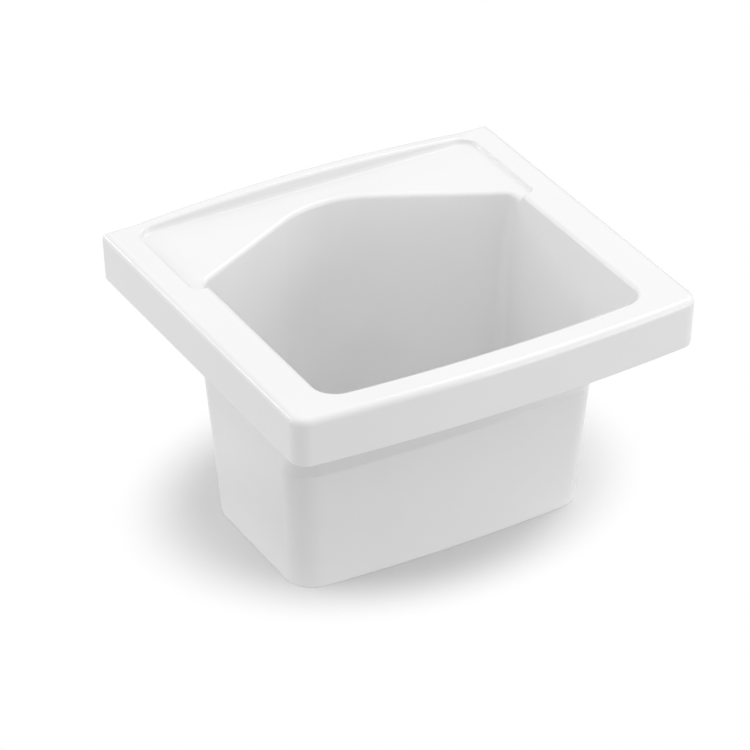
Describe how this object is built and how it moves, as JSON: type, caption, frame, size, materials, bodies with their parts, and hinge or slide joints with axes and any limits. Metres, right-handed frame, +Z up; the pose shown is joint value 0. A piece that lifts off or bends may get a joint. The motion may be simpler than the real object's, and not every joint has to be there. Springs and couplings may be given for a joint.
{
  "type": "laundry sink",
  "caption": "Deep ceramic laundry sink with a wide apron rim, arched back edge, sunk ledge, home-plate basin and skirt, and a basket strainer waste whose basket lifts out.",
  "frame": {"origin": "middle of the overall box, on the surface that the sink's skirt stands on", "axes": "+Z up, +X to the right as one stands before the sink, -Y towards the person who uses it"},
  "size_m": [0.6, 0.5528, 0.3847],
  "materials": {
    "ceramic": "gloss white glaze",
    "stainless": "satin",
    "rubber": "matt",
    "waste_plastic": "moulded",
    "brass": "turned",
    "knob_plastic": "moulded"
  },
  "bodies": {
    "sink": {"sink_basin": "ceramic", "strainer_pan": "stainless", "flange_seal": "rubber", "underside_seal": "rubber", "waste_body": "waste_plastic", "screw_insert": "brass", "clamp_screw": "stainless"},
    "basket": {"basket": "stainless", "basket_seal": "rubber", "basket_stem": "stainless", "stem_ring": "rubber", "basket_knob": "knob_plastic"}
  },
  "joints": [
    {"name": "basket_lift", "type": "slide", "parent": "sink", "child": "basket", "axis": [0, 0, 1], "range_m": [0, 0.4]}
  ]
}
